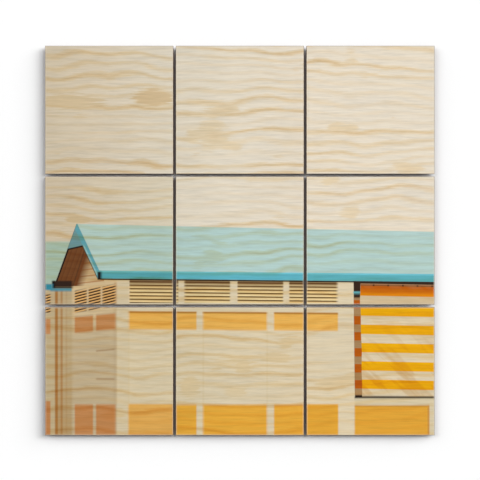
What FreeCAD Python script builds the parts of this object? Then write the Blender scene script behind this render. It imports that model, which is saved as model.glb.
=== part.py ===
import FreeCAD, Part
import os
import Sketcher
from FreeCAD import Rotation, Vector

# A wall mural of nine square plywood boards, three by three, with a narrow gap between
# neighbours. Each board is five plies glued together, and it hangs on four pairs of
# reclosable strips: one half of each pair is stuck to the wall, the other to the board's
# back, and their ribs push into each other. A board comes off by pulling it straight out.
#
# Millimetres. +X right, +Z up, and the printed fronts face -Y. The wall's surface is the
# plane y = 0, and the origin is on it, behind the middle of the mural.

SIZES = {
    "overall_side": 914.4,  # the square mural, outer edge to outer edge
    "boards_across": 3,
    "board_gap": 6.0,
    "ply_count": 5,
    "ply_thickness": 1.27,
    "edge_ease": 0.4,  # chamfer that takes the sharp edge off the two outer plies
    "strip_width": 15.9,
    "strip_length": 54.0,  # pull tab included
    "strip_inset": 25.0,  # from the board's edge to the strip, both ways
    "tab_length": 12.7,
    "tab_radius": 5.0,
    "tape_thickness": 1.0,  # foam tape, sticky on its outer face
    "plate_thickness": 0.5,
    "lock_depth": 1.6,  # between the two plates of a closed pair
    "rib_height": 1.5,
    "rib_thickness": 1.2,
    "rib_pitch": 3.0,
    "rib_margin": 1.0,  # bare plate beside the ribs
    "wall_rib_count": 13,
    "board_rib_count": 12,  # one fewer, so that they fall between the wall half's ribs
}

ROWS = ("bottom", "middle", "top")
COLUMNS = ("left", "centre", "right")

# Plies are numbered from the wall: the back veneer is ply 0, and the face veneer the last.
INNER_PLIES = {"back_crossband": 1, "core_ply": 2, "front_crossband": 3}

# Expressions over the sheet, which the placements and sizes below are made of.
PITCH = "((Dimensions.overall_side + Dimensions.board_gap) / Dimensions.boards_across)"
SIDE = f"({PITCH} - Dimensions.board_gap)"
HALF_THICKNESS = "(Dimensions.tape_thickness + Dimensions.plate_thickness)"
STAND_OFF = f"(2 * {HALF_THICKNESS} + Dimensions.lock_depth)"
PLATE_LENGTH = "(Dimensions.strip_length - Dimensions.tab_length)"

document = FreeCAD.newDocument("wall_mural")


def add_sheet():
    """The driving dimensions, one named cell each."""
    sheet = document.addObject("Spreadsheet::Sheet", "Dimensions")
    for row, (name, value) in enumerate(SIZES.items(), start=1):
        sheet.set(f"A{row}", str(value))
        sheet.setAlias(f"A{row}", name)
    document.recompute()


def bind(thing, expressions):
    """Binds each named property of a document object to its expression."""
    for name, expression in expressions.items():
        thing.setExpression(name, expression)


def centred(index, count, step):
    """The expression for place number index of count places, step apart, about zero."""
    return f"({index - (count - 1) / 2} * {step})"


def board_centre(row, column):
    """Expressions for a board's centre, across and up."""
    across = centred(COLUMNS.index(column), len(COLUMNS), PITCH)
    up = centred(ROWS.index(row), len(ROWS), PITCH)
    return across, up


def rectangle(body, name, width, height, shift_up="0", depth="0"):
    """A rectangle on the body's XZ plane, its centre shifted up and its plane out to -Y."""
    sketch = body.newObject("Sketcher::SketchObject", name)
    plane = next(f for f in body.Origin.OriginFeatures if f.Role == "XZ_Plane")
    sketch.AttachmentSupport = [(plane, "")]
    sketch.MapMode = "FlatFace"
    bind(sketch, {"AttachmentOffset.Base.y": shift_up, "AttachmentOffset.Base.z": depth})

    corners = [Vector(-5, -5, 0), Vector(5, -5, 0), Vector(5, 5, 0), Vector(-5, 5, 0)]
    for start, end in zip(corners, corners[1:] + corners[:1]):
        sketch.addGeometry(Part.LineSegment(start, end), False)
    for side in range(4):
        sketch.addConstraint(Sketcher.Constraint("Coincident", side, 2, (side + 1) % 4, 1))
    for side, direction in enumerate(("Horizontal", "Vertical") * 2):
        sketch.addConstraint(Sketcher.Constraint(direction, side))
    sketch.addConstraint(Sketcher.Constraint("Symmetric", 0, 1, 1, 2, -1, 1))
    for kind, side, label in (("DistanceX", 0, "across"), ("DistanceY", 1, "upright")):
        number = sketch.addConstraint(Sketcher.Constraint(kind, side, 1, side, 2, 10))
        sketch.renameConstraint(number, label)
    bind(sketch, {"Constraints.across": width, "Constraints.upright": height})
    document.recompute()
    return sketch


def pad(body, sketch, name, thickness):
    """Raises a sketch to a thickness, towards -Y."""
    feature = body.newObject("PartDesign::Pad", name)
    feature.Profile = sketch
    feature.setExpression("Length", thickness)
    sketch.Visibility = False
    document.recompute()
    return feature


def edges_where(feature, chosen):
    """The names of a feature's edges whose bounding boxes chosen accepts."""
    return [
        f"Edge{number}"
        for number, edge in enumerate(feature.Shape.Edges, start=1)
        if chosen(edge.BoundBox)
    ]


def outer_ply(name, row, column, ply, eased_face):
    """A face or back veneer: a square sheet whose outer face has eased edges."""
    body = document.addObject("PartDesign::Body", name)
    sheet = pad(body, rectangle(body, "outline", SIDE, SIDE), "sheet", "Dimensions.ply_thickness")
    bounds = sheet.Shape.BoundBox
    face_y = bounds.YMin if eased_face == "front" else bounds.YMax
    ease = body.newObject("PartDesign::Chamfer", "eased_edges")
    on_face = edges_where(sheet, lambda b: abs(b.YMin - face_y) + abs(b.YMax - face_y) < 1e-4)
    ease.Base = (sheet, on_face)
    ease.setExpression("Size", "Dimensions.edge_ease")
    across, up = board_centre(row, column)
    depth = f"-({STAND_OFF} + {ply} * Dimensions.ply_thickness)"
    bind(body, {"Placement.Base.x": across, "Placement.Base.y": depth, "Placement.Base.z": up})
    return body


def inner_ply(name, row, column, ply):
    """A crossband or the core: a plain square sheet."""
    sheet = document.addObject("Part::Box", name)
    across, up = board_centre(row, column)
    bind(sheet, {
        "Length": SIDE,
        "Width": "Dimensions.ply_thickness",
        "Height": SIDE,
        "Placement.Base.x": f"{across} - {SIDE} / 2",
        "Placement.Base.y": f"-({STAND_OFF} + {ply + 1} * Dimensions.ply_thickness)",
        "Placement.Base.z": f"{up} - {SIDE} / 2",
    })
    return sheet


def strip_half(name, rib_count):
    """One half of a hanging strip: foam tape with a pull tab, a plate, and a row of ribs."""
    body = document.addObject("PartDesign::Body", name)

    outline = rectangle(body, "tape_outline", "Dimensions.strip_width", "Dimensions.strip_length")
    tape = pad(body, outline, "tape", "Dimensions.tape_thickness")
    foot = tape.Shape.BoundBox.ZMin
    tab = body.newObject("PartDesign::Fillet", "rounded_tab")
    at_foot = edges_where(tape, lambda b: b.ZMax - foot < 1e-4 and b.XMax - b.XMin < 1e-4)
    tab.Base = (tape, at_foot)
    tab.setExpression("Radius", "Dimensions.tab_radius")
    document.recompute()

    above_tab = "Dimensions.tab_length / 2"
    plate_outline = rectangle(
        body, "plate_outline", "Dimensions.strip_width", PLATE_LENGTH,
        above_tab, "Dimensions.tape_thickness",
    )
    pad(body, plate_outline, "plate", "Dimensions.plate_thickness")

    rows_span = f"((Dimensions.{rib_count} - 1) * Dimensions.rib_pitch)"
    rib_outline = rectangle(
        body, "rib_outline", "Dimensions.strip_width - 2 * Dimensions.rib_margin",
        "Dimensions.rib_thickness", f"{above_tab} - {rows_span} / 2", HALF_THICKNESS,
    )
    rib = pad(body, rib_outline, "rib", "Dimensions.rib_height")
    ribs = body.newObject("PartDesign::LinearPattern", "ribs")
    ribs.Originals = [rib]
    ribs.Direction = (rib_outline, ["V_Axis"])
    bind(ribs, {"Length": rows_span, "Occurrences": f"Dimensions.{rib_count}"})
    body.Tip = ribs
    document.recompute()

    one_rib = (SIZES["strip_width"] - 2 * SIZES["rib_margin"]) * SIZES["rib_thickness"]
    one_rib *= SIZES["rib_height"]
    added = ribs.Shape.Volume - rib.Shape.Volume
    if abs(added - (SIZES[rib_count] - 1) * one_rib) > 1e-3:
        raise RuntimeError(f"{name}: the pattern added {added:.3f} mm3 of ribs")
    return body


def strip_places(row, column):
    """Expressions for the centres of a board's four strips, near its corners."""
    across, up = board_centre(row, column)
    reach_across = f"({SIDE} / 2 - Dimensions.strip_inset - Dimensions.strip_width / 2)"
    reach_up = f"({SIDE} / 2 - Dimensions.strip_inset - Dimensions.strip_length / 2)"
    return [
        (f"{across} {side} {reach_across}", f"{up} {level} {reach_up}")
        for level in "-+"
        for side in "-+"
    ]


def strip_group(name, half, places, depth, turn):
    """Copies of a strip half at the given places, as one group of separate solids."""
    copies = []
    for number, (across, up) in enumerate(places, start=1):
        copy = document.addObject("App::Link", f"{name}_{number}")
        copy.LinkedObject = half
        copy.Placement = FreeCAD.Placement(Vector(), Rotation(Vector(0, 0, 1), turn))
        bind(copy, {"Placement.Base.x": across, "Placement.Base.y": depth, "Placement.Base.z": up})
        copies.append(copy)
    group = document.addObject("Part::Compound", name)
    group.Links = copies
    return group


def add_board(row, column, board_half):
    """A board's five plies and the strip halves on its back."""
    board = f"{row}_{column}"
    last = SIZES["ply_count"] - 1
    parts = [
        outer_ply(f"{board}_face_veneer", row, column, last, "front"),
        outer_ply(f"{board}_back_veneer", row, column, 0, "back"),
    ]
    for name, ply in INNER_PLIES.items():
        parts.append(inner_ply(f"{board}_{name}", row, column, ply))
    places = strip_places(row, column)
    parts.append(strip_group(f"{board}_board_strips", board_half, places, f"-{STAND_OFF}", 180))
    return parts


def check_document():
    """Stops if any object of the document failed to compute."""
    for thing in document.Objects:
        if "Invalid" in thing.State or "Error" in thing.State:
            raise RuntimeError(f"{thing.Label} failed: {thing.State}")


def check_part(part, solid_count):
    """Stops if a sub-part's shape isn't the valid solids it should be."""
    shape = part.Shape
    if shape.isNull() or not shape.isValid() or shape.Volume <= 0:
        raise RuntimeError(f"{part.Label} has no valid shape")
    if len(shape.Solids) != solid_count:
        raise RuntimeError(f"{part.Label} has {len(shape.Solids)} solids, not {solid_count}")


def write_parts(parts):
    """Writes each sub-part to a file with its label as name."""
    os.makedirs("parts", exist_ok=True)
    for part in parts:
        part.Shape.exportStep(os.path.join("parts", f"{part.Label}.step"))


add_sheet()
wall_half = strip_half("wall_strip_half", "wall_rib_count")
board_half = strip_half("board_strip_half", "board_rib_count")

parts = []
for row in ROWS:
    for column in COLUMNS:
        parts += add_board(row, column, board_half)
    row_places = [place for column in COLUMNS for place in strip_places(row, column)]
    parts.append(strip_group(f"{row}_row_wall_strips", wall_half, row_places, "0", 0))

document.recompute()
check_document()
for part in parts:
    check_part(part, len(part.Links) if part.TypeId == "Part::Compound" else 1)
write_parts(parts)

whole = Part.makeCompound([part.Shape for part in parts]).BoundBox
print(f"{len(parts)} sub-parts, {whole.XLength:.2f} x {whole.YLength:.2f} x {whole.ZLength:.2f} mm")
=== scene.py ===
import math
import random

import bpy
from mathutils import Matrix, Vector, noise


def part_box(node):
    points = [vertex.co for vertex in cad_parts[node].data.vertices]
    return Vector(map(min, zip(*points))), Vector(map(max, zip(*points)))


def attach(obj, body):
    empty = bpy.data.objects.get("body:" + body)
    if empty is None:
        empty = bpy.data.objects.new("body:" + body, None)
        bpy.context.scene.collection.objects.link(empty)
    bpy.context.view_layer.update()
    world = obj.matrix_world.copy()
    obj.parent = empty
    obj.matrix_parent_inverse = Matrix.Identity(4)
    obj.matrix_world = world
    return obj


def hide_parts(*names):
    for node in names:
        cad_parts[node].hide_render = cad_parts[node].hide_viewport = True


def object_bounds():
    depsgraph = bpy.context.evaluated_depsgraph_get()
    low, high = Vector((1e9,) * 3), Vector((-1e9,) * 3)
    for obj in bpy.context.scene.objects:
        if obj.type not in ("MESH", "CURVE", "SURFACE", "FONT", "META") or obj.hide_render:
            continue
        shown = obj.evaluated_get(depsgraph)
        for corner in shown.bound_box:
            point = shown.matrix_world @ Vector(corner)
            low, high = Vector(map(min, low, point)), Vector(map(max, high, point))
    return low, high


# The looks of a wall mural: nine printed plywood boards on a white wall, each hung on four
# pairs of reclosable strips. Metres, in the frame of the CAD model: +X right, +Z up, the
# printed fronts face -Y, and y = 0 is the wall's surface.

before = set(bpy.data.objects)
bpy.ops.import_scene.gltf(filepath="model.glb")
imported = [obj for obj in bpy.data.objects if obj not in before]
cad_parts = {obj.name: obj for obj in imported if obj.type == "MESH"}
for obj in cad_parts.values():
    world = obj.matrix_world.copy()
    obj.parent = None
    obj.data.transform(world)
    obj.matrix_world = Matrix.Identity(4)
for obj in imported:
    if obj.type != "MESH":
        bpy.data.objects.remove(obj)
cad_box = [list(corner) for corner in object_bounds()]

ROWS = ("bottom", "middle", "top")
COLUMNS = ("left", "centre", "right")
BOARDS = [(row, column) for row in ROWS for column in COLUMNS]
MM = 0.001

# Sizes that the patterns need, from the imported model.
mural_low, mural_high = (Vector(corner) for corner in cad_box)
SPAN = mural_high.x - mural_low.x
board_low, board_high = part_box("middle_centre_face_veneer")
SIDE = board_high.x - board_low.x
PITCH = (SPAN - SIDE) / 2
PLY = board_high.y - board_low.y
FRONT_Y = board_low.y


# ---------------------------------------------------------------- colours

def linear(colour):
    """A colour given as 0 to 255 sRGB, as linear red, green and blue."""
    parts = [channel / 255 for channel in colour]
    return [p / 12.92 if p <= 0.04045 else ((p + 0.055) / 1.055) ** 2.4 for p in parts]


BARE_WOOD = (221, 209, 187)
LIGHT_LEVEL = 1.08  # how much light falls on the fronts, so that colours come out as named


def paint(colour):
    """A surface colour that looks like the named colour under the studio light."""
    return (*[channel / LIGHT_LEVEL for channel in linear(colour)], 1)


def greys(stops):
    """Ramp stops in grey, to multiply a colour by."""
    return [(position, (value, value, value, 1)) for position, value in stops]


def ink(colour):
    """What the print multiplies bare wood by to look like the named colour."""
    return (*[c / w for c, w in zip(linear(colour), linear(BARE_WOOD))], 1)


# ---------------------------------------------------------------- node building

class Graph:
    """A material under construction. Each method adds a node and returns its output."""

    def __init__(self, name, roughness=0.6, specular=0.35):
        self.material = bpy.data.materials.new(name)
        self.material.use_nodes = True
        self.tree = self.material.node_tree
        self.shader = self.tree.nodes["Principled BSDF"]
        self.shader.inputs["Roughness"].default_value = roughness
        self.shader.inputs["Specular IOR Level"].default_value = specular
        source = self.tree.nodes.new("ShaderNodeTexCoord")
        self.place = source.outputs["Object"]
        self.x, self.y, self.z = self.split(self.place)
        self.facing = self.split(source.outputs["Normal"])

    def add(self, kind, inputs, output=0, **settings):
        node = self.tree.nodes.new("ShaderNode" + kind)
        for name, value in settings.items():
            setattr(node, name, value)
        for name, value in inputs.items():
            if isinstance(value, bpy.types.NodeSocket):
                self.tree.links.new(value, node.inputs[name])
            else:
                node.inputs[name].default_value = value
        return node.outputs[output]

    def split(self, vector):
        node = self.tree.nodes.new("ShaderNodeSeparateXYZ")
        self.tree.links.new(vector, node.inputs[0])
        return list(node.outputs)

    def math(self, operation, *values, clamp=False):
        return self.add("Math", dict(enumerate(values)), operation=operation, use_clamp=clamp)

    def product(self, *masks):
        result = masks[0]
        for mask in masks[1:]:
            result = self.math("MULTIPLY", result, mask)
        return result

    def line(self, value, slope, offset):
        return self.math("MULTIPLY_ADD", value, slope, offset)

    def over(self, value, limit, soft):
        """1 where value is above limit, 0 below, with a soft edge."""
        gap = self.math("SUBTRACT", value, limit)
        return self.math("MULTIPLY_ADD", gap, 1 / soft, 0.5, clamp=True)

    def inverse(self, mask):
        return self.math("SUBTRACT", 1.0, mask)

    def mix(self, factor, below, above, blend="MIX"):
        return self.add("Mix", {0: factor, 6: below, 7: above}, output=2,
                        data_type="RGBA", blend_type=blend)

    def noise(self, stretch, seed, detail=2.0, roughness=0.5, vector=None):
        """Noise about 0.5, with the given number of features per metre along x, y and z."""
        place = self.place if vector is None else vector
        scaled = self.add("VectorMath", {0: place, 1: stretch}, operation="MULTIPLY")
        return self.add("TexNoise", {"Vector": scaled, "W": seed, "Scale": 1.0, "Detail": detail,
                                     "Roughness": roughness}, noise_dimensions="4D")

    def ramp(self, value, stops, interpolation="LINEAR"):
        """A colour ramp. Stops that are numbers give a number, kept in the ramp's alpha."""
        numbers = isinstance(stops[0][1], (int, float))
        node = self.tree.nodes.new("ShaderNodeValToRGB")
        self.tree.links.new(value, node.inputs[0])
        node.color_ramp.interpolation = interpolation
        elements = node.color_ramp.elements
        elements.remove(elements[1])
        for index, (position, colour) in enumerate(stops):
            element = elements[0] if index == 0 else elements.new(position)
            element.position = position
            element.color = (1, 1, 1, colour) if numbers else colour
        return node.outputs[1 if numbers else 0]

    def spans(self, value, pairs, soft=0.0014):
        """1 where value, from 0 to 1, is in one of the spans, with soft edges."""
        stops = []
        for low, high in pairs:
            if low > 0:
                stops += [(low - soft / 2, 0), (low + soft / 2, 1)]
            else:
                stops += [(0, 1)]
            if high < 1:
                stops += [(high - soft / 2, 1), (high + soft / 2, 0)]
        return self.ramp(value, stops)

    def span(self, value, low, high, soft):
        """The same for one span of any value."""
        return self.product(self.over(value, low, soft), self.inverse(self.over(value, high, soft)))

    def finish(self, colour, roughness=None, height=None, bump=0.0):
        self.tree.links.new(colour, self.shader.inputs["Base Color"])
        if roughness is not None:
            self.tree.links.new(roughness, self.shader.inputs["Roughness"])
        if height is not None:
            normal = self.add("Bump", {"Height": height, "Distance": bump, "Strength": 1.0})
            self.tree.links.new(normal, self.shader.inputs["Normal"])
        return self.material


# ---------------------------------------------------------------- wood

def board_numbers(g):
    """Which board a point is on, across and up, and how far it is from that board's edge."""
    across = g.math("DIVIDE", g.math("ADD", g.x, 1.5 * PITCH), PITCH)
    up = g.math("DIVIDE", g.math("ADD", g.z, 1.5 * PITCH), PITCH)
    reach = []
    for value in (across, up):
        from_centre = g.math("ABSOLUTE", g.math("SUBTRACT", g.math("FRACT", value), 0.5))
        reach.append(g.math("MULTIPLY", from_centre, PITCH))
    edge = g.math("SUBTRACT", SIDE / 2, g.math("MAXIMUM", *reach))
    return g.math("FLOOR", across), g.math("FLOOR", up), edge


def board_seed(g, column, row, first):
    return g.math("ADD", g.math("MULTIPLY", column, 3.7), g.math("MULTIPLY_ADD", row, 11.3, first))


def figure(g, seed, spacing=0.022, waves=1.9):
    """The figure of a rotary-cut veneer whose grain runs along x: how dark, from 0 to 1."""
    wander = g.noise((3.3, 0, 7.0), seed, detail=2.0, roughness=0.5)
    feather = g.noise((30, 50, 420), g.math("ADD", seed, 40.0), detail=3.0, roughness=0.65)
    rings = g.line(g.z, 1 / spacing, 50.0)
    rings = g.math("ADD", rings, g.line(wander, waves * 2, -waves))
    rings = g.math("ADD", rings, g.line(feather, 0.6, -0.3))
    ripple = g.noise((7.5, 0, 5.0), g.math("ADD", seed, 160.0), detail=1.0)
    rings = g.math("ADD", rings, g.line(ripple, 1.3, -0.65))
    late = g.ramp(g.math("FRACT", rings), [(0, 0.0), (0.30, 0.10), (0.52, 0.75), (0.64, 1.0), (0.78, 0.6),
                                           (0.95, 0.0)], "EASE")
    # Some rings are strong and some barely show.
    ring = g.math("ADD", g.math("FLOOR", rings), g.math("MULTIPLY", seed, 0.37))
    ring = g.add("TexWhiteNoise", {"W": ring}, noise_dimensions="1D")
    late = g.math("MULTIPLY", late, g.ramp(ring, [(0, 0.25), (0.4, 0.6), (0.7, 0.95), (1.0, 1.0)]))
    patch = g.noise((3.4, 0, 9.0), g.math("ADD", seed, 80.0), detail=2.0)
    strength = g.ramp(patch, [(0.34, 0.42), (0.50, 0.80), (0.64, 1.0)], "EASE")
    blotch = g.noise((6.0, 0, 16.0), g.math("ADD", seed, 120.0), detail=2.0)
    blotch = g.math("ADD", blotch, g.line(feather, 0.16, -0.08))
    blotches = g.ramp(blotch, [(0.62, 0.0), (0.67, 0.5), (0.78, 0.70)], "EASE")
    return g.math("MAXIMUM", g.math("MULTIPLY", late, strength), blotches)


def stain_patch(g, centre, reach, ragged, strength):
    """A darker patch in the wood, with ragged ends, at a place across and up the whole mural."""
    across = g.line(g.x, 1 / (SPAN * reach[0]), (0.5 - centre[0]) / reach[0])
    up = g.line(g.z, 1 / (SPAN * reach[1]), (0.5 - centre[1]) / reach[1])
    away = g.math("SQRT", g.math("ADD", g.product(across, across), g.product(up, up)))
    away = g.math("ADD", away, g.line(ragged, 1.6, -0.8))
    return g.math("MULTIPLY", g.inverse(g.over(away, 0.85, 0.30)), strength)


def fibres(g, seed):
    """Fine streaks along x, about 0.5."""
    coarse = g.noise((15, 30, 250), seed, detail=3.0, roughness=0.6)
    fine = g.noise((34, 90, 1500), g.math("ADD", seed, 20.0), detail=2.0, roughness=0.6)
    return coarse, fine


def edge_colour(g, grain_streaks):
    """The browned, cut edge of a veneer."""
    return g.ramp(grain_streaks, [(0.25, paint((80, 60, 42))), (0.5, paint((112, 87, 62))),
                                  (0.75, paint((140, 112, 82)))])


# ---------------------------------------------------------------- the printed picture

# The picture is a beach hut under a pale sky, drawn here zone by zone. Across and up are
# fractions of the whole mural, from its lower left corner.
BAYS = [(0.217, 0.341), (0.359, 0.476), (0.494, 0.610), (0.628, 0.750)]
PANELS = [(0.215, 0.389), (0.406, 0.570), (0.587, 0.753)]
# Darker patches in the veneers: where, how far they reach, and how dark they are.
WOOD_PATCHES = [((0.282, 0.8665), (0.062, 0.030), 0.80), ((0.060, 0.857), (0.100, 0.024), 0.50),
                ((0.085, 0.5535), (0.036, 0.012), 0.60), ((0.372, 0.1245), (0.030, 0.034), 0.45),
                ((0.508, 0.1760), (0.028, 0.020), 0.45), ((0.598, 0.1990), (0.046, 0.017), 0.42),
                ((0.490, 0.1117), (0.034, 0.018), 0.40)]
# How often slats, planks, stripes and hooks repeat.
SLAT_PITCH = 0.0090
GABLE_SLAT_PITCH = 0.0073
PLANK_PITCH = 0.0165
SOFFIT_PITCH = 0.0125
STRIPE_PITCH = 0.0469
INNER_STRIPE_PITCH = 0.0411
HOOK_PITCH = 0.0376
FOLD_ANGLE = -42  # of the curtain's folds, in degrees
# Lines on the corner post of the hut next door: where across, how wide, and how dark.
POST_LINES = [(0.0290, 0.0062, 0.95), (0.0418, 0.0050, 0.75), (0.0535, 0.0030, 0.35)]
FRONT_LEFT = 0.136  # the corner between the front and the side wall under the gable
PANELS_TOP = 0.0783  # the top of the lower row of panels
BAY_LEFT = 0.7945  # the open bay's left edge
LEFT_END, RIGHT_START = 1 / 3, 2 / 3  # where the left boards end and the right ones begin


def picture(g):
    """The inks of the picture, as a colour to multiply the wood by."""
    u = g.line(g.x, 1 / SPAN, 0.5)
    v = g.line(g.z, 1 / SPAN, 0.5)
    soft = 0.0016  # how wide the edges of the zones are
    colour = (1, 1, 1, 1)

    def lay(mask, shade):
        # Each zone is painted as soon as it is made, so that few values wait for use at once.
        nonlocal colour
        colour = g.mix(mask, colour, shade if isinstance(shade, bpy.types.NodeSocket) else ink(shade))

    def box(across, up, edge=soft):
        return g.product(g.spans(u, [across], edge), g.spans(v, [up], edge))

    # Lines that bound the roofs and the gable.
    ridge = g.line(u, -0.0223, 0.5443)
    eaves = g.line(u, -0.0105, 0.4242)
    gutter = g.line(u, -0.0105, 0.4044)
    left_rake = g.line(v, 0.3623, 0.0272 - 0.3623 * 0.3943)
    soffit = g.line(v, 0.32, 0.0755 - 0.32 * 0.394)
    rake_outside = g.line(v, -0.4718, 0.1408 + 0.4718 * 0.42)
    rake_inside = g.line(v, -0.4611, 0.1343 + 0.4611 * 0.4051)
    below_gutter = g.inverse(g.over(v, gutter, soft))
    beside_rake = g.over(u, left_rake, soft)
    before_roof = g.inverse(g.over(u, rake_outside, soft))

    # The sky is bare wood. On the middle left board it is darker, a tone of that veneer, and painted
    # shade darkens it further towards the left.
    lay(box((0, LEFT_END), (1 / 3, 2 / 3)),
        g.ramp(u, [(0.02, ink((204, 189, 163))), (0.33, ink((216, 206, 183)))]))

    # Walls under the gutter: the front, the side wall under the gable, and the next hut's.
    front = g.product(below_gutter, g.spans(u, [(FRONT_LEFT, 1)], soft))
    lay(front, (211, 195, 162))
    side = g.spans(u, [(0.0, 0.184)], soft)
    lay(g.product(side, below_gutter), (207, 183, 142))
    lay(g.product(side, g.ramp(v, [(0.24, 1.0), (0.34, 0.0)])), (188, 169, 136))
    lay(box((0, 0.070), (0, 0.380)), (186, 167, 131))
    lay(g.product(box((0.030, 0.070), (0, 0.372)), g.ramp(v, [(0, 0.9), (0.16, 0.3), (0.38, 0.1)])),
        (172, 142, 96))
    for across, width, strength in POST_LINES:
        post_line = box((across - width / 2, across + width / 2), (0, 0.372), 0.002)
        lay(g.math("MULTIPLY", post_line, strength), (158, 106, 46))
    lay(g.product(box((0.178, 0.184), (0, 0.392), 0.010), g.ramp(v, [(0, 0.15), (0.3, 0.3)])),
        (170, 148, 114))
    lay(box((0.1800, 0.1832), (0.334, 0.392), 0.003), (184, 134, 76))
    lay(g.product(g.spans(u, [(0.184, 0.214)], soft), below_gutter), (207, 191, 158))
    joints = [(a - 0.0006, a + 0.0006) for pair in PANELS for a in pair]
    lay(g.math("MULTIPLY", box_joints(g, u, v, joints), 0.22), (196, 172, 122))

    # Louvred vents along the front, in the shade of the gutter at the top.
    slat = g.math("FRACT", g.math("DIVIDE", g.math("SUBTRACT", gutter, v), SLAT_PITCH))
    slats = g.ramp(slat, [(0.0, ink((160, 128, 80))), (0.15, ink((212, 184, 128))),
                          (0.60, ink((232, 208, 152))), (0.72, ink((104, 76, 36))),
                          (0.86, ink((66, 46, 18))), (1.0, ink((160, 128, 80)))])
    vents = g.product(g.spans(u, BAYS), below_gutter, g.over(v, 0.3395, soft))
    lay(vents, slats)
    in_gutter_shade = g.over(v, g.math("SUBTRACT", gutter, 0.014), 0.022)
    lay(g.product(vents, in_gutter_shade, g.ramp(slat, [(0.0, 1.0), (0.4, 0.80), (1.0, 1.0)])),
        (84, 51, 25))

    # Painted panels.
    across = g.spans(u, PANELS)
    sagging = g.math("ADD", v, g.line(u, 0.0075, -0.0016))
    upper = g.product(across, g.spans(sagging, [(0.273, 0.318)]))
    lay(upper, (222, 169, 80))
    lay(g.product(across, g.spans(sagging, [(0.3155, 0.3187)], 0.002)), (156, 102, 38))
    lay(g.product(across, g.spans(v, [(0, PANELS_TOP)])), (220, 162, 56))
    lay(box((PANELS[0][0], LEFT_END), (0, PANELS_TOP)), (215, 163, 82))
    lay(box((RIGHT_START, PANELS[-1][1]), (0, PANELS_TOP)), (213, 155, 50))

    # The gable: vents and panels drawn a little askew, because that wall faces away.
    tilted = g.math("ADD", v, g.line(u, -0.155, 0.155 * 0.077))
    steeper = g.math("ADD", tilted, g.line(u, -0.10, 0))
    gable_slat = g.math("FRACT", g.math("DIVIDE", steeper, GABLE_SLAT_PITCH))
    gable_slats = g.ramp(gable_slat, [(0, ink((190, 142, 82))), (0.40, ink((232, 186, 120))),
                                      (0.54, ink((36, 20, 9))), (0.86, ink((48, 27, 12))),
                                      (1.0, ink((190, 142, 82)))])
    lay(g.product(g.spans(u, [(0.077, 0.106), (0.112, 0.142), (0.148, 0.180)]),
                  g.spans(tilted, [(0.316, 0.371)])), gable_slats)
    lay(box((0, 0.015), (0.314, 0.363)), gable_slats)
    less_tilted = g.math("ADD", v, g.line(u, -0.10, 0.10 * 0.077))
    doors = g.spans(u, [(0.077, 0.123), (0.1297, 0.180)])
    lay(g.product(doors, g.spans(less_tilted, [(0.262, 0.3036)])), (186, 132, 82))
    lay(g.product(doors, g.spans(less_tilted, [(0.3014, 0.3044)], 0.0010)), (112, 62, 28))
    cracks = g.spans(u, [(0.131, 0.179)], 0.004)
    lay(g.product(cracks, g.spans(less_tilted, [(0.2108, 0.2124)], 0.0010)), (144, 108, 62))
    lay(g.product(cracks, g.spans(v, [(0.1430, 0.1446)], 0.0010)), (144, 108, 62))
    lay(g.product(doors, g.spans(v, [(0, 0.0785)])), (186, 129, 77))
    lay(box((0, 0.0145), (0.259, 0.298)), (188, 132, 84))
    lay(box((0, 0.0145), (0, 0.089)), (182, 124, 74))

    # The roof of the hut next door, cut off by the left edge.
    lay(g.product(g.inverse(beside_rake), g.spans(v, [(0.388, 0.4965)], soft)), (162, 184, 166))

    # The gable's wall, the shaded underside of its roof, and its barge boards.
    gable = g.product(beside_rake, before_roof, g.over(v, 0.383, soft),
                      g.inverse(g.over(v, 0.5425, soft)))
    lay(gable, g.ramp(v, [(0.383, ink((207, 183, 142))), (0.412, ink((190, 164, 122))),
                          (0.50, ink((128, 92, 56)))]))
    planks = g.math("FRACT", g.math("DIVIDE", g.math("ADD", v, g.line(u, -0.12, 0)), PLANK_PITCH))
    lay(g.product(gable, g.ramp(planks, [(0, 0.8), (0.18, 0.0), (0.84, 0.0), (1.0, 0.8)])), (158, 98, 42))
    in_shade = g.span(g.math("SUBTRACT", u, soffit), -0.02, 0.0185, 0.022)
    lay(g.product(gable, in_shade), (104, 58, 24))
    underside = g.product(gable, g.inverse(g.over(u, soffit, soft)))
    boards_above = g.math("FRACT", g.math("DIVIDE", g.math("SUBTRACT", u, left_rake), SOFFIT_PITCH))
    lay(underside, g.ramp(boards_above, [(0, ink((96, 56, 26))), (0.15, ink((108, 65, 31))),
                                         (0.8, ink((104, 61, 28))), (1, ink((96, 56, 26)))]))
    lay(g.product(gable, g.span(g.math("SUBTRACT", u, soffit), -0.002, 0.001, 0.002)), (84, 52, 26))
    lay(g.product(gable, g.span(g.math("SUBTRACT", u, left_rake), -0.0012, 0.0042, 0.0014)), (14, 9, 5))
    lay(box((0.020, 0.070), (0.379, 0.396), 0.003), (40, 22, 10))
    lay(box((0.018, 0.0265), (0.378, 0.3965), 0.0022), (8, 6, 4))
    lay(box((0.019, 0.070), (0.3772, 0.3805), 0.0022), (10, 7, 4))
    cap = g.math("SUBTRACT", v, g.line(u, 0.226, 0.4791 - 0.226 * 0.0573))
    lay(g.product(gable, g.over(cap, -0.0040, soft)), (24, 16, 10))
    lay(g.product(gable, g.over(cap, 0, soft)), (104, 144, 148))
    lay(g.product(gable, g.over(u, rake_inside, soft), g.over(v, 0.4045, soft)), (92, 156, 166))
    lay(g.product(gable, g.span(g.math("SUBTRACT", u, rake_inside), 0.0006, 0.0046, 0.003),
                  g.spans(v, [(0.41, 0.487)], 0.004)), (140, 182, 180))
    lay(g.product(gable, g.span(g.math("SUBTRACT", u, rake_inside), -0.0016, 0.0003, 0.0016),
                  g.spans(v, [(0.4045, 0.487)], soft)), (70, 60, 44))
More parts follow.
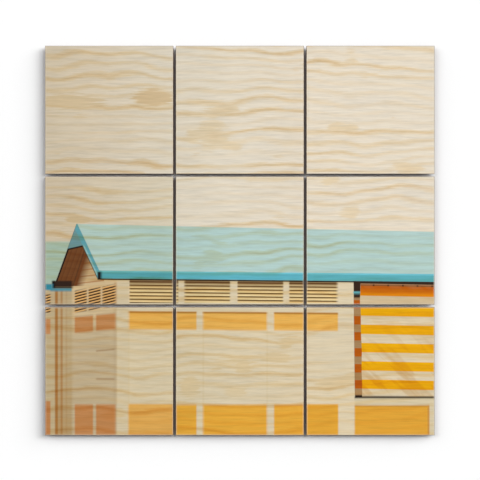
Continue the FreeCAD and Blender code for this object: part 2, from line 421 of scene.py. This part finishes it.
    lay(box((0.0, 0.0195), (0.372, 0.3895)), (50, 134, 156))
    lay(box((0.012, 0.069), (0.3708, 0.3768)), (52, 132, 150))

    # The roof and the board along its edge.
    roof = g.product(g.over(u, rake_outside, soft), g.inverse(g.over(v, ridge, soft)),
                     g.over(v, eaves, soft))
    lay(roof, (175, 200, 191))
    lay(g.product(roof, g.over(u, RIGHT_START, soft)), (172, 197, 188))
    lay(g.product(front, g.over(v, g.math("SUBTRACT", gutter, 0.0036), 0.0018)), (28, 16, 6))
    board = g.product(g.spans(u, [(FRONT_LEFT, 1)], soft), g.inverse(g.over(v, eaves, soft)),
                      g.over(v, gutter, soft))
    lay(board, (92, 172, 184))
    lay(g.product(board, g.over(u, RIGHT_START, soft)), (86, 162, 168))
    lay(g.product(board, g.inverse(g.over(u, LEFT_END, soft))), (82, 158, 166))
    lay(g.product(board, g.over(v, g.math("SUBTRACT", eaves, 0.0035), 0.003)), (112, 190, 200))
    lay(box((0.1338, 0.1446), (0.4010, 0.4214)), (10, 8, 6))

    # The open bay on the right, with a striped curtain across it.
    jamb = g.line(v, -0.0125, 0.7969)
    opening = g.product(g.over(u, jamb, soft), g.over(v, 0.0955, soft), below_gutter)
    lay(opening, (44, 26, 12))
    slanted = g.math("ADD", v, g.line(u, 0.0193, -0.0193))
    inner = g.math("FRACT", g.math("DIVIDE", g.math("SUBTRACT", 0.3054, v), INNER_STRIPE_PITCH))
    inner_stripes = g.ramp(inner, [(0, ink((168, 80, 0))), (0.49, ink((172, 82, 0))),
                                   (0.53, ink((156, 122, 80))), (0.97, ink((160, 126, 84))),
                                   (1, ink((168, 80, 0)))])
    lay(g.product(g.over(u, jamb, soft), g.spans(v, [(0.104, 0.352)])), inner_stripes)
    lay(box((0.792, 0.812), (0.3635, 0.3695)), (96, 170, 180))
    wobble = g.noise((4, 0, 16), 5.0)
    hem = g.math("ADD", g.line(v, -0.022, 0.8172), g.line(wobble, 0.008, -0.004))
    curtain = g.product(g.over(u, hem, soft), g.spans(slanted, [(0.0975, 0.3850)]))
    stripe = g.math("FRACT", g.math("DIVIDE", g.math("SUBTRACT", 0.327, slanted), STRIPE_PITCH))
    stripes = g.ramp(stripe, [(0, ink((224, 164, 0))), (0.485, ink((221, 158, 0))),
                              (0.515, ink((206, 188, 152))), (0.985, ink((214, 198, 166))),
                              (1, ink((224, 164, 0)))])
    lay(curtain, stripes)
    lay(g.product(curtain, g.over(slanted, 0.330, soft)), (199, 177, 139))
    top_stripe = g.ramp(slanted, [(0.357, ink((213, 131, 0))), (0.364, ink((196, 106, 0))),
                                  (0.377, ink((173, 81, 0)))])
    lay(g.product(curtain, g.over(slanted, 0.355, soft)), top_stripe)
    lay(g.product(curtain, g.over(slanted, 0.3805, soft)), (122, 76, 36))
    hooks = g.math("FRACT", g.math("DIVIDE", g.math("ADD", u, 0.0025), HOOK_PITCH))
    lay(g.product(curtain, g.spans(slanted, [(0.3805, 0.386)]), g.spans(hooks, [(0.44, 0.56)], 0.03)),
        (20, 12, 6))
    diagonal = g.add("VectorRotate", {"Vector": g.place, "Angle": math.radians(FOLD_ANGLE)},
                     rotation_type="Y_AXIS")
    fold = g.noise((7, 0, 44), 9.0, detail=3.0, roughness=0.45, vector=diagonal)
    low_down = g.ramp(v, [(0.10, 1.0), (0.20, 0.75), (0.27, 0.25), (0.33, 0.10)])
    folds = g.math("MULTIPLY", g.ramp(fold, [(0.47, 0.0), (0.56, 0.55), (0.66, 0.95)], "EASE"), low_down)
    lay(g.product(curtain, folds), g.mix(1.0, stripes, (0.80, 0.62, 0.42, 1), "MULTIPLY"))
    lay(box((BAY_LEFT, 1), (0.0936, 0.0996), 0.0008), (6, 4, 2))
    lay(box((BAY_LEFT, 1), (0, 0.0940)), (205, 190, 155))
    lay(box((0.7955, 0.985), (0, 0.0765)), (212, 154, 50))
    lay(box((0.7955, 0.985), (0.0745, 0.0775), 0.002), (146, 92, 30))
    lay(box((0.983, 0.9865), (0, 0.0775), 0.002), (186, 132, 56))

    return colour


def box_joints(g, u, v, joints):
    """Thin upright joints in the plain wall between the panels."""
    return g.product(g.spans(u, joints, 0.0008), g.spans(v, [(0.078, 0.272)], 0.01))


def printed_face():
    """The front of a board: pale plywood with the picture printed on it."""
    g = Graph("printed_wood", specular=0.15)
    column, row, edge = board_numbers(g)
    seed = board_seed(g, column, row, 1.0)
    dark = figure(g, seed)
    coarse, fine = fibres(g, seed)
    for centre, reach, strength in WOOD_PATCHES:
        dark = g.math("MAXIMUM", dark, stain_patch(g, centre, reach, coarse, strength))
    bare = g.ramp(dark, [(0, paint((227, 216, 196))), (0.5, paint((223, 204, 170))),
                         (1, paint((211, 181, 136)))])
    cool = g.noise((3.0, 0, 6.5), g.math("ADD", seed, 200.0), detail=3.0)
    bare = g.mix(g.ramp(cool, [(0.52, 0.0), (0.70, 0.35)]), bare, paint((219, 212, 198)))
    bare = g.mix(1.0, bare, g.ramp(coarse, greys([(0.34, 0.915), (0.5, 1.0), (0.66, 1.055)])), "MULTIPLY")
    bare = g.mix(1.0, bare, g.ramp(fine, greys([(0.34, 0.94), (0.5, 1.0), (0.66, 1.05)])), "MULTIPLY")
    # The veneers get lighter from left to right: partly their own tones, board by board, and partly
    # painted shade, as if the light fell from the right. The two lower left ones have a tone of their
    # own.
    tone_and_painted_shade = g.ramp(g.line(g.x, 1 / SPAN, 0.5), [
        (0.02, (0.80, 0.765, 0.70, 1)), (0.12, (0.86, 0.83, 0.78, 1)), (0.33, (0.925, 0.935, 0.94, 1)),
        (0.48, (1.0, 1.01, 1.03, 1)), (0.66, (1.01, 1.01, 1.03, 1)), (0.68, (1.05, 1.05, 1.07, 1))])
    low_left = g.math("MULTIPLY", g.math("LESS_THAN", column, 0.5), g.math("LESS_THAN", row, 0.5))
    mid_left = g.math("MULTIPLY", g.math("LESS_THAN", column, 0.5), g.math("COMPARE", row, 1.0, 0.5))
    tone_and_painted_shade = g.mix(low_left, tone_and_painted_shade, (0.955, 0.950, 0.930, 1))
    tone_and_painted_shade = g.mix(mid_left, tone_and_painted_shade, (0.930, 0.915, 0.890, 1))
    bare = g.mix(1.0, bare, tone_and_painted_shade, "MULTIPLY")
    printed = g.mix(1.0, bare, picture(g), "MULTIPLY")
    # A painted highlight: a faint pale band just inside each board's edge.
    painted_edge_highlight = g.span(edge, 0.0007, 0.0028, 0.0012)
    printed = g.mix(g.math("MULTIPLY", painted_edge_highlight, 0.25), printed, paint((236, 228, 212)))
    cut = g.inverse(g.over(edge, 0.0007, 0.0006))
    edges = edge_colour(g, g.noise((700, 900, 700), 3.0, detail=3.0))
    colour = g.mix(cut, printed, edges)
    rough = g.ramp(coarse, [(0.2, 0.46), (0.8, 0.62)])
    height = g.math("ADD", g.math("MULTIPLY", fine, 0.6), g.math("MULTIPLY", dark, 0.35))
    return g.finish(colour, rough, height, 0.00008)


def back_face():
    """The bare back of a board, less carefully chosen than the front."""
    g = Graph("back_wood")
    column, row, edge = board_numbers(g)
    seed = board_seed(g, column, row, 150.0)
    dark = figure(g, seed, spacing=0.027, waves=3.2)
    coarse, fine = fibres(g, seed)
    bare = g.ramp(dark, [(0, paint((222, 202, 168))), (0.5, paint((205, 180, 142))),
                         (1, paint((176, 142, 100)))])
    bare = g.mix(1.0, bare, g.ramp(coarse, greys([(0.25, 0.88), (0.5, 1.0), (0.75, 1.05)])), "MULTIPLY")
    bare = g.mix(1.0, bare, g.ramp(fine, greys([(0.25, 0.92), (0.5, 1.0), (0.8, 1.04)])), "MULTIPLY")
    stain = g.noise((5, 0, 9), 33.0, detail=4.0)
    bare = g.mix(g.ramp(stain, [(0.55, 0.0), (0.75, 0.35)]), bare, paint((188, 160, 122)))
    cut = g.inverse(g.over(edge, 0.0007, 0.0006))
    edges = edge_colour(g, g.noise((700, 900, 700), 4.0, detail=3.0))
    rough = g.ramp(coarse, [(0.2, 0.55), (0.8, 0.75)])
    height = g.math("ADD", g.math("MULTIPLY", fine, 0.8), g.math("MULTIPLY", dark, 0.35))
    return g.finish(g.mix(cut, bare, edges), rough, height, 0.00012)


def ply_edges():
    """The edges of the three inner plies: crossbands with upright grain, core with level grain."""
    g = Graph("ply_edges", roughness=0.75, specular=0.25)
    depth = g.math("DIVIDE", g.math("SUBTRACT", g.y, FRONT_Y + PLY), 3 * PLY)
    core = g.spans(depth, [(1 / 3, 2 / 3)], 0.02)
    sideways = g.math("GREATER_THAN", g.math("ABSOLUTE", g.facing[0]), 0.5)
    # End grain shows where the grain runs into the edge: up and down on crossbands, sideways on the core.
    end_grain = g.inverse(g.math("ABSOLUTE", g.math("SUBTRACT", core, sideways)))
    pores = g.noise((1600, 1900, 1600), 7.0, detail=3.0, roughness=0.65)
    streaks = g.noise((60, 1500, 60), 8.0, detail=3.0)
    long_side = g.ramp(streaks, [(0.25, paint((92, 64, 40))), (0.5, paint((126, 92, 60))),
                                 (0.75, paint((152, 116, 78)))])
    ends = g.ramp(pores, [(0.25, paint((62, 42, 26))), (0.5, paint((92, 65, 42))),
                          (0.75, paint((120, 88, 58)))])
    colour = g.mix(end_grain, long_side, ends)
    colour = g.mix(core, colour, g.mix(1.0, colour, (1.18, 1.15, 1.08, 1), "MULTIPLY"))
    glue = g.spans(depth, [(0, 0.03), (0.32, 0.346), (0.654, 0.68), (0.97, 1)], 0.012)
    colour = g.mix(g.math("MULTIPLY", glue, 0.6), colour, paint((48, 32, 20)))
    scorch = g.noise((30, 30, 30), 6.0, detail=3.0)
    colour = g.mix(g.ramp(scorch, [(0.45, 0.0), (0.75, 0.5)]), colour, paint((58, 40, 26)))
    return g.finish(colour)


TAPE_DEPTH = 1.0  # in mm, as are all sizes of the strips


def strip_plastic():
    """White foam tape, with a clear-edged plastic plate and stems on it."""
    g = Graph("strip_plastic", roughness=0.5, specular=0.4)
    foam = g.over(g.y, -TAPE_DEPTH * MM, 0.02 * MM)
    cells = g.add("TexVoronoi", {"Vector": g.place, "Scale": 2600.0}, feature="F1")
    foam_colour = g.ramp(cells, [(0.0, paint((206, 206, 202))), (0.35, paint((232, 232, 229))),
                                 (0.8, paint((242, 242, 240)))])
    marks = g.noise((300, 300, 90), 12.0, detail=4.0)
    plastic = g.ramp(marks, [(0.3, paint((214, 215, 212))), (0.55, paint((230, 230, 228))),
                             (0.8, paint((240, 240, 239)))])
    worn = g.noise((90, 90, 60), 13.0, detail=3.0)
    colour = g.mix(foam, plastic, foam_colour)
    colour = g.mix(g.ramp(worn, [(0.5, 0.0), (0.8, 0.3)]), colour, paint((198, 194, 182)))
    return g.finish(colour)


# ---------------------------------------------------------------- pieces

def new_piece(name, mesh, body, material, nodes):
    piece = bpy.data.objects.new(name, mesh)
    bpy.context.scene.collection.objects.link(piece)
    if not mesh.materials:
        mesh.materials.append(material)
    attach(piece, body)
    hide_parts(*nodes)
    return piece


def closed_loft(rings, vertices, faces):
    """Adds a closed solid through rings of points, which all have the same number of points."""
    count = len(rings[0])
    start = len(vertices)
    for ring in rings:
        vertices.extend(ring)
    for level in range(len(rings) - 1):
        base = start + level * count
        for k in range(count):
            after = (k + 1) % count
            faces.append((base + k, base + after, base + count + after, base + count + k))
    faces.append(tuple(start + k for k in reversed(range(count))))
    top = start + (len(rings) - 1) * count
    faces.append(tuple(top + k for k in range(count)))


def solid_mesh(name, vertices, faces):
    mesh = bpy.data.meshes.new(name)
    mesh.from_pydata(vertices, [], faces)
    mesh.validate()
    mesh.update()
    return mesh


EDGE_STEPS = 120  # points along each side of a board's inner plies
PLY_LEVELS = ((0.0, 0.09), (0.5, 0.03), (1.0, 0.09))  # across a ply: how far through, and its inset in mm
CORE_GAPS, CROSSBAND_GAPS = 5, 2  # small voids round the edge of each ply
EDGE_BUMPS = 160  # per metre, round the edges
EDGE_ROUGHNESS = 0.05  # in mm


def square_outline(half):
    """Points round a square, counterclockwise seen from the front."""
    corners = [(-half, -half), (half, -half), (half, half), (-half, half)]
    points = []
    for side in range(4):
        start, end = corners[side], corners[(side + 1) % 4]
        for step in range(EDGE_STEPS):
            t = step / EDGE_STEPS
            points.append((start[0] + (end[0] - start[0]) * t, start[1] + (end[1] - start[1]) * t))
    return points


def inner_plies(row, column, number, material):
    """Crossband, core and crossband as one solid, with the small steps and gaps of real ply edges."""
    board = f"{row}_{column}"
    nodes = [f"{board}_front_crossband", f"{board}_core_ply", f"{board}_back_crossband"]
    draw = random.Random(number)
    core_low, core_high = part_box(nodes[1])
    centre = (core_low + core_high) / 2
    half = (core_high.x - core_low.x) / 2
    outline = square_outline(half)
    total = len(outline)
    rings = []
    for ply, node in enumerate(nodes):
        low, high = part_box(node)
        gaps = [(draw.randrange(total), draw.uniform(0.4, 1.6), draw.uniform(0.5, 1.3))
                for _ in range(CORE_GAPS if ply == 1 else CROSSBAND_GAPS)]
        for through, inset in PLY_LEVELS:
            ring = []
            for k, (x, z) in enumerate(outline):
                rough = noise.noise(Vector((x * EDGE_BUMPS, ply * 7.3 + number, z * EDGE_BUMPS)))
                depth = inset + EDGE_ROUGHNESS * (1 + rough)
                for place, width, deep in gaps:
                    away = min(abs(k - place), total - abs(k - place))
                    depth += deep * math.exp(-((away / width) ** 2)) * (1 if through == 0.5 else 0.6)
                shrink = 1 - depth * MM / half
                ring.append((centre.x + x * shrink, low.y + (high.y - low.y) * through,
                             centre.z + z * shrink))
            rings.append(ring)
    vertices, faces = [], []
    closed_loft(rings, vertices, faces)
    mesh = solid_mesh(f"{board}_inner_plies", vertices, faces)
    return new_piece(f"{board}_inner_plies", mesh, f"{board}_board", material, nodes)


def rounded_outline(width, low, high, foot_radius, head_radius, arc_steps=6):
    """Points and outward directions round an upright rectangle with rounded corners."""
    half = width / 2
    corners = [(half - foot_radius, low + foot_radius, foot_radius, -90),
               (half - head_radius, high - head_radius, head_radius, 0),
               (-half + head_radius, high - head_radius, head_radius, 90),
               (-half + foot_radius, low + foot_radius, foot_radius, 180)]
    outline = []
    for cx, cz, radius, first in corners:
        for step in range(arc_steps + 1):
            angle = math.radians(first + 90 * step / arc_steps)
            nx, nz = math.cos(angle), math.sin(angle)
            outline.append((cx + radius * nx, cz + radius * nz, nx, nz))
    return outline


def outline_rings(outline, profile):
    """Rings of an outline at each (y, inset) of a profile, in millimetres."""
    return [[((x - inset * nx) * MM, y * MM, (z - inset * nz) * MM) for x, z, nx, nz in outline]
            for y, inset in profile]


STRIP_WIDTH = 15.9
STRIP_REACH = 27.0  # from the middle of a strip to its upper end, and to the end of its pull tab
PLATE_FOOT = -14.3  # where the plate and the stems end, above the pull tab
STEMS_MIDDLE = 6.35  # up from the middle of the strip
# Profiles of the tape, the plate and a stem: y, and inset or radius.
TAPE_PROFILE = ((0, 0.12), (-0.12, 0.02), (-0.5, 0.10), (-0.88, 0.0), (-TAPE_DEPTH, 0.10))
PLATE_PROFILE = ((-0.95, 0.06), (-1.35, 0.0), (-1.5, 0.15))
STEM_PROFILE = ((-1.4, 0.42), (-2.35, 0.34), (-2.5, 0.68), (-2.8, 0.58), (-3.0, 0.25))
STEM_SIDES = 6
STEMS_PER_ROW = 6
STEM_PITCH = 2.3
STEM_SHIFT = STEM_PITCH / 4  # sideways, so that the stems of two facing halves pass each other
ROW_PITCH = 3.0
WALL_ROWS, BOARD_ROWS = 13, 12


def strip_half(name, rows):
    """Half a hanging strip: foam tape with a rounded pull tab, a plate, and rows of headed stems."""
    vertices, faces = [], []
    tape = rounded_outline(STRIP_WIDTH, -STRIP_REACH, STRIP_REACH, 5.0, 0.5)
    closed_loft(outline_rings(tape, TAPE_PROFILE), vertices, faces)
    plate = rounded_outline(STRIP_WIDTH, PLATE_FOOT, STRIP_REACH, 0.6, 0.6, arc_steps=3)
    closed_loft(outline_rings(plate, PLATE_PROFILE), vertices, faces)
    turns = [math.radians(360 / STEM_SIDES * k) for k in range(STEM_SIDES)]
    for row in range(rows):
        z = STEMS_MIDDLE + (row - (rows - 1) / 2) * ROW_PITCH
        for column in range(STEMS_PER_ROW):
            x = (column - (STEMS_PER_ROW - 1) / 2) * STEM_PITCH + STEM_SHIFT
            rings = [[((x + radius * math.cos(a)) * MM, y * MM, (z + radius * math.sin(a)) * MM)
                      for a in turns] for y, radius in STEM_PROFILE]
            closed_loft(rings, vertices, faces)
    return solid_mesh(name, vertices, faces)


def strip_centres(row, column):
    """Where a board's four strips are, from the CAD model's box of them."""
    low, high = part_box(f"{row}_{column}_board_strips")
    half_width, half_length = STRIP_WIDTH / 2 * MM, STRIP_REACH * MM
    return [(level, hand, x, z)
            for level, z in (("lower", low.z + half_length), ("upper", high.z - half_length))
            for hand, x in (("left", low.x + half_width), ("right", high.x - half_width))]


face_material = printed_face()
back_material = back_face()
plies_material = ply_edges()
strip_material = strip_plastic()

wall_mesh = strip_half("wall_strip_half", WALL_ROWS)
board_mesh = strip_half("board_strip_half", BOARD_ROWS)
backs = []  # what only shows from behind, and gets its own light

for number, (row, column) in enumerate(BOARDS):
    board = f"{row}_{column}"
    for ply, material in (("face_veneer", face_material), ("back_veneer", back_material)):
        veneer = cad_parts[f"{board}_{ply}"]
        veneer.data.materials.clear()
        veneer.data.materials.append(material)
    backs.append(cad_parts[f"{board}_back_veneer"])
    inner_plies(row, column, number, plies_material)
    strips_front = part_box(f"{board}_board_strips")[0].y
    for level, hand, x, z in strip_centres(row, column):
        place = f"{board}_{level}_{hand}"
        wall_half = new_piece(f"{place}_wall_strip", wall_mesh, "wall_strips", strip_material,
                              [f"{row}_row_wall_strips"])
        wall_half.location = (x, 0, z)
        board_half = new_piece(f"{place}_board_strip", board_mesh, f"{board}_board", strip_material,
                               [f"{board}_board_strips"])
        board_half.location = (x, strips_front, z)
        board_half.rotation_euler = (0, 0, math.pi)
        backs += [wall_half, board_half]


# ---------------------------------------------------------------- stage, lights and camera

def stage_plane(name, corners, material):
    mesh = bpy.data.meshes.new(name)
    mesh.from_pydata(corners, [], [(0, 1, 2, 3)])
    mesh.materials.append(material)
    plane = bpy.data.objects.new(name, mesh)
    bpy.context.scene.collection.objects.link(plane)
    return plane


def plaster(name, colour, one_sided):
    """Matt paint with a faint roller texture. One-sided paint can be looked through from behind."""
    g = Graph(name, roughness=0.9, specular=0.1)
    grain = g.noise((260, 260, 260), 2.0, detail=3.0)
    shade = g.ramp(grain, [(0.3, (*[c * 0.985 for c in colour], 1)), (0.7, (*colour, 1))])
    g.finish(shade, height=grain, bump=0.0001)
    if one_sided:
        back = g.add("NewGeometry", {}, output="Backfacing")
        clear = g.add("BsdfTransparent", {})
        surface = g.add("MixShader", {0: back, 1: g.shader.outputs[0], 2: clear})
        g.tree.links.new(surface, g.tree.nodes["Material Output"].inputs["Surface"])
    return g.material


FLOOR_Z = -1.5
FLOOR_REACH = 40
WALL_Y = 0.0003  # just behind the strips
WALL_REACH = 4.5
WALL_TOP = 3
stage_plane("wall", [(-WALL_REACH, WALL_Y, FLOOR_Z), (WALL_REACH, WALL_Y, FLOOR_Z),
                     (WALL_REACH, WALL_Y, WALL_TOP), (-WALL_REACH, WALL_Y, WALL_TOP)],
            plaster("wall_paint", (0.955, 0.955, 0.955), one_sided=True))
floor = stage_plane("floor", [(x * FLOOR_REACH, y * FLOOR_REACH, FLOOR_Z)
                              for x, y in ((-1, -1), (1, -1), (1, 1), (-1, 1))],
                    plaster("floor_paint", (0.80, 0.79, 0.77), one_sided=False))
floor.visible_diffuse = False  # it is far below, and shouldn't fill in the shadows


def soft_sun(name, direction, spread, strength):
    """A large, soft, distant light. direction is the way to it, and spread its width in degrees."""
    data = bpy.data.lights.new(name, "SUN")
    data.energy = strength * math.pi
    data.angle = math.radians(spread)
    light = bpy.data.objects.new(name, data)
    light.rotation_euler = Vector(direction).to_track_quat("Z", "Y").to_euler()
    bpy.context.scene.collection.objects.link(light)
    return light


# Name, the way to it, spread and strength.
FRONT_LIGHTS = [("key", (1.8, -1.0, 1.2), 57, 1.11), ("rake", (3.4, -1.0, 1.3), 30, 0.58),
                ("second", (-1.7, -1.0, 1.05), 57, 0.61)]
BACK_LIGHTS = [("back_key", (-0.9, 1.0, 0.8), 40, 0.95), ("back_second", (1.0, 1.0, 0.5), 40, 0.45)]
FILL_LIGHT = 0.17
STUDIO_BEYOND = 1.0  # the pale studio seen past the stage

for name, direction, spread, strength in FRONT_LIGHTS:
    soft_sun(name, direction, spread, strength)

# The wall would keep these off the backs of the boards, which are only seen from behind. They
# light nothing else, and the wall doesn't block them.
backs_lit = bpy.data.collections.new("backs_lit")
for thing in backs:
    backs_lit.objects.link(thing)
    thing.visible_diffuse = False  # so that the lit backs don't brighten the gaps between boards
for name, direction, spread, strength in BACK_LIGHTS:
    light = soft_sun(name, direction, spread, strength)
    light.light_linking.receiver_collection = backs_lit
    light.light_linking.blocker_collection = backs_lit

world = bpy.data.worlds.new("studio")
world.use_nodes = True
bpy.context.scene.world = world
nodes, links = world.node_tree.nodes, world.node_tree.links
seen = nodes.new("ShaderNodeLightPath")
level = nodes.new("ShaderNodeMapRange")
level.inputs["To Min"].default_value = FILL_LIGHT
level.inputs["To Max"].default_value = STUDIO_BEYOND
links.new(seen.outputs["Is Camera Ray"], level.inputs["Value"])
links.new(level.outputs[0], nodes["Background"].inputs["Strength"])
nodes["Background"].inputs["Color"].default_value = (1, 1, 1, 1)

# From the printed fronts, so that the mural is as large as in the photograph, and in the same place.
CAMERA_DISTANCE = 2.661
CAMERA_RIGHT, CAMERA_UP = 0.0004, 0.0013

camera = bpy.data.objects.new("camera", bpy.data.cameras.new("camera"))
camera.data.lens = 85
camera.data.sensor_width = 36
camera.location = (CAMERA_RIGHT, FRONT_Y - CAMERA_DISTANCE, CAMERA_UP)
camera.rotation_euler = (math.radians(90), 0, 0)
bpy.context.scene.collection.objects.link(camera)
bpy.context.scene.camera = camera
bpy.context.scene.view_settings.view_transform = "Standard"
